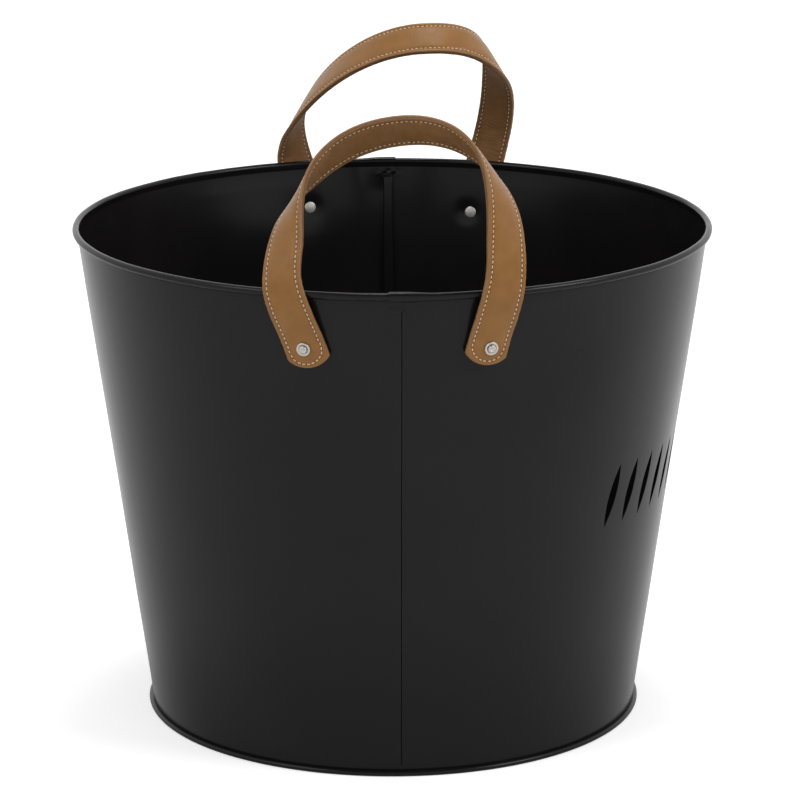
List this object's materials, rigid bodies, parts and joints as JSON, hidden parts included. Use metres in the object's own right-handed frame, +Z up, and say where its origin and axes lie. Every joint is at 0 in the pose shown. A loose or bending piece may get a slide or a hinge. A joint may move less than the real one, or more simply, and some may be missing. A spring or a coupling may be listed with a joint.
{
  "type": "kindling bucket",
  "caption": "Round tapered sheet-metal bucket with lock seams, a wired rim, slanted vents and leather loop handles riveted outside.",
  "frame": {"origin": "on the floor under the bucket's axis", "axes": "+Z up along the bucket's axis, the front handle and front seam at -Y, the vents centred on +X"},
  "size_m": [0.4004, 0.4006, 0.4108],
  "materials": {
    "painted_steel": "satin black paint",
    "bare_steel": "drawn wire",
    "rivet_metal": "polished",
    "leather": "smooth tan grain",
    "leather_lining": "matte tan",
    "thread": "waxed thread"
  },
  "bodies": {
    "bucket": {"wall_panel_left": "painted_steel", "wall_panel_right": "painted_steel", "base_disc": "painted_steel", "rim_wire": "bare_steel", "rivet_front_left": "rivet_metal", "rivet_front_right": "rivet_metal", "rivet_rear_left": "rivet_metal", "rivet_rear_right": "rivet_metal", "washer_front_left": "rivet_metal", "washer_front_right": "rivet_metal", "washer_rear_left": "rivet_metal", "washer_rear_right": "rivet_metal", "front_tab_left_outer": "leather", "front_tab_left_lining": "leather_lining", "front_tab_right_outer": "leather", "front_tab_right_lining": "leather_lining", "rear_tab_left_outer": "leather", "rear_tab_left_lining": "leather_lining", "rear_tab_right_outer": "leather", "rear_tab_right_lining": "leather_lining"},
    "front_handle": {"front_loop_outer": "leather", "front_loop_lining": "leather_lining"},
    "rear_handle": {"rear_loop_outer": "leather", "rear_loop_lining": "leather_lining"}
  },
  "joints": [
    {"name": "front_handle_flex", "type": "hinge", "parent": "bucket", "child": "front_handle", "pos_m": [0, -0.18942, 0.3219], "axis": [1, 0, 0], "range_deg": [-30, 45], "stiffness_Nm_per_rad": 0.15},
    {"name": "rear_handle_flex", "type": "hinge", "parent": "bucket", "child": "rear_handle", "pos_m": [0, 0.19178, 0.3219], "axis": [-1, 0, 0], "range_deg": [-30, 45], "stiffness_Nm_per_rad": 0.15}
  ]
}
